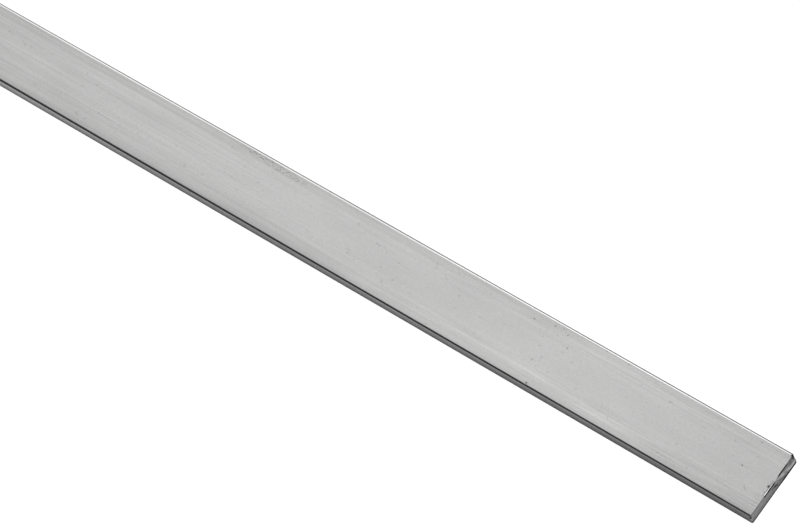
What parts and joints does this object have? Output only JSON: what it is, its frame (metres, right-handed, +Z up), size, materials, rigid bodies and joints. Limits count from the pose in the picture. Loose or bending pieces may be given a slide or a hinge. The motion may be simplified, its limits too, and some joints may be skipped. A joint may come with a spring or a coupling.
{
  "type": "metal flat bar",
  "caption": "Straight length of mill-finish aluminium flat bar with softly rounded long edges, a sheared and slightly torn end, and a square sawn end.",
  "frame": {"origin": "on the underside, below the middle of the bar", "axes": "+X along the bar towards the sheared end, +Y across the width towards the torn corner, +Z up from the underside to the opposite wide face"},
  "size_m": [1, 0.025, 0.0062],
  "materials": {
    "mill_aluminium": "mill finish, dull satin grey with fine drawn lines along the bar, unpainted and uncoated"
  },
  "bodies": {
    "root": {"flat_bar": "mill_aluminium"}
  },
  "joints": []
}
